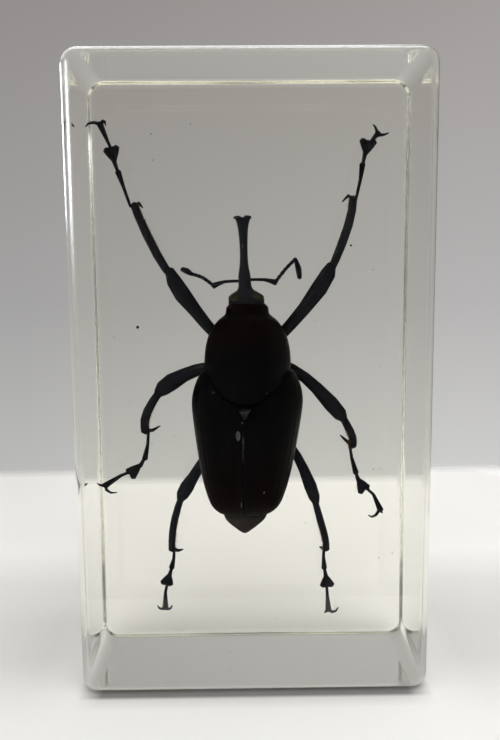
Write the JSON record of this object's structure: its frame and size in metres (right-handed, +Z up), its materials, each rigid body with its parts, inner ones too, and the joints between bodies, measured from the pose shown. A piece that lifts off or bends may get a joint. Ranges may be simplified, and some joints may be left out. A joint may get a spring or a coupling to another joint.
{
  "type": "beetle specimen in resin block",
  "caption": "Upright rectangular block of clear cast resin with rounded edges, holding a black long-snouted weevil with spread legs and claws.",
  "frame": {"origin": "middle of the block's base, on the surface it stands on", "axes": "+Z up along the block's long side, -Y out of the front face that the insect's back is towards, +X to the right seen from the front"},
  "size_m": [0.0408, 0.0238, 0.0732],
  "materials": {
    "clear_resin": "polished, faint warm tint",
    "black_shell": "satin gloss, near black",
    "red_black_shell": "satin gloss, black with a deep red-brown cast"
  },
  "bodies": {
    "root": {"resin_front_half": "clear_resin", "resin_back_half": "clear_resin", "head_and_rostrum": "black_shell", "antenna_left": "black_shell", "antenna_right": "black_shell", "pronotum": "red_black_shell", "scutellum": "black_shell", "elytron_left": "red_black_shell", "elytron_right": "red_black_shell", "abdomen": "red_black_shell", "foreleg_left": "black_shell", "foreleg_right": "black_shell", "midleg_left": "black_shell", "midleg_right": "black_shell", "hindleg_left": "black_shell", "hindleg_right": "black_shell"}
  },
  "joints": []
}
